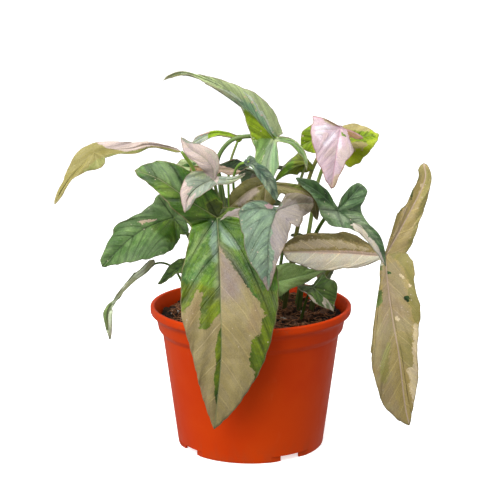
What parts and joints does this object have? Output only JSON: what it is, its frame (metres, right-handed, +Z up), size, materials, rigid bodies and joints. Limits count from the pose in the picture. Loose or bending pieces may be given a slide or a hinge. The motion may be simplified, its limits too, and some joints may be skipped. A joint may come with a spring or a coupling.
{
  "type": "arrowhead plant",
  "caption": "Variegated arrowhead plant with arching green, tan and pink lobed leaves on thin petioles, growing in soil in a round tapered plastic nursery pot.",
  "frame": {"origin": "on the pot's axis, at the level of the surface it stands on", "axes": "+Z up along the pot's axis, -Y towards the front, +X to the right seen from the front"},
  "size_m": [0.2733, 0.1857, 0.2877],
  "materials": {
    "pot_plastic": "satin terracotta-orange moulded plastic",
    "soil": "dark crumbly potting mix with bark and perlite",
    "leaf_green": "waxy green leaf with cream and tan sectors",
    "leaf_dark": "waxy dark green leaf",
    "leaf_pale": "waxy grey-green leaf with pink sectors",
    "leaf_tan": "waxy tan and olive leaf",
    "leaf_pink": "waxy pale pink leaf"
  },
  "bodies": {
    "root": {"pot": "pot_plastic", "soil": "soil", "leaf_front": "leaf_green", "leaf_middle": "leaf_pale", "leaf_teal": "leaf_dark", "leaf_behind_middle": "leaf_tan", "leaf_top": "leaf_pale", "leaf_left_long": "leaf_tan", "leaf_pink_tip": "leaf_pale", "leaf_cupped": "leaf_dark", "leaf_left_upper": "leaf_green", "leaf_left_yellow": "leaf_pale", "leaf_left": "leaf_dark", "leaf_hanging": "leaf_pale", "leaf_small_dark": "leaf_dark", "leaf_right": "leaf_tan", "leaf_right_front": "leaf_dark", "leaf_pink": "leaf_pink", "leaf_right_upper": "leaf_green", "leaf_under_top": "leaf_green", "leaf_low_right": "leaf_dark", "leaf_low_green": "leaf_green", "leaf_back_centre": "leaf_green", "leaf_back_left": "leaf_pale", "leaf_back_right": "leaf_green", "leaf_back_upper": "leaf_pale"}
  },
  "joints": []
}
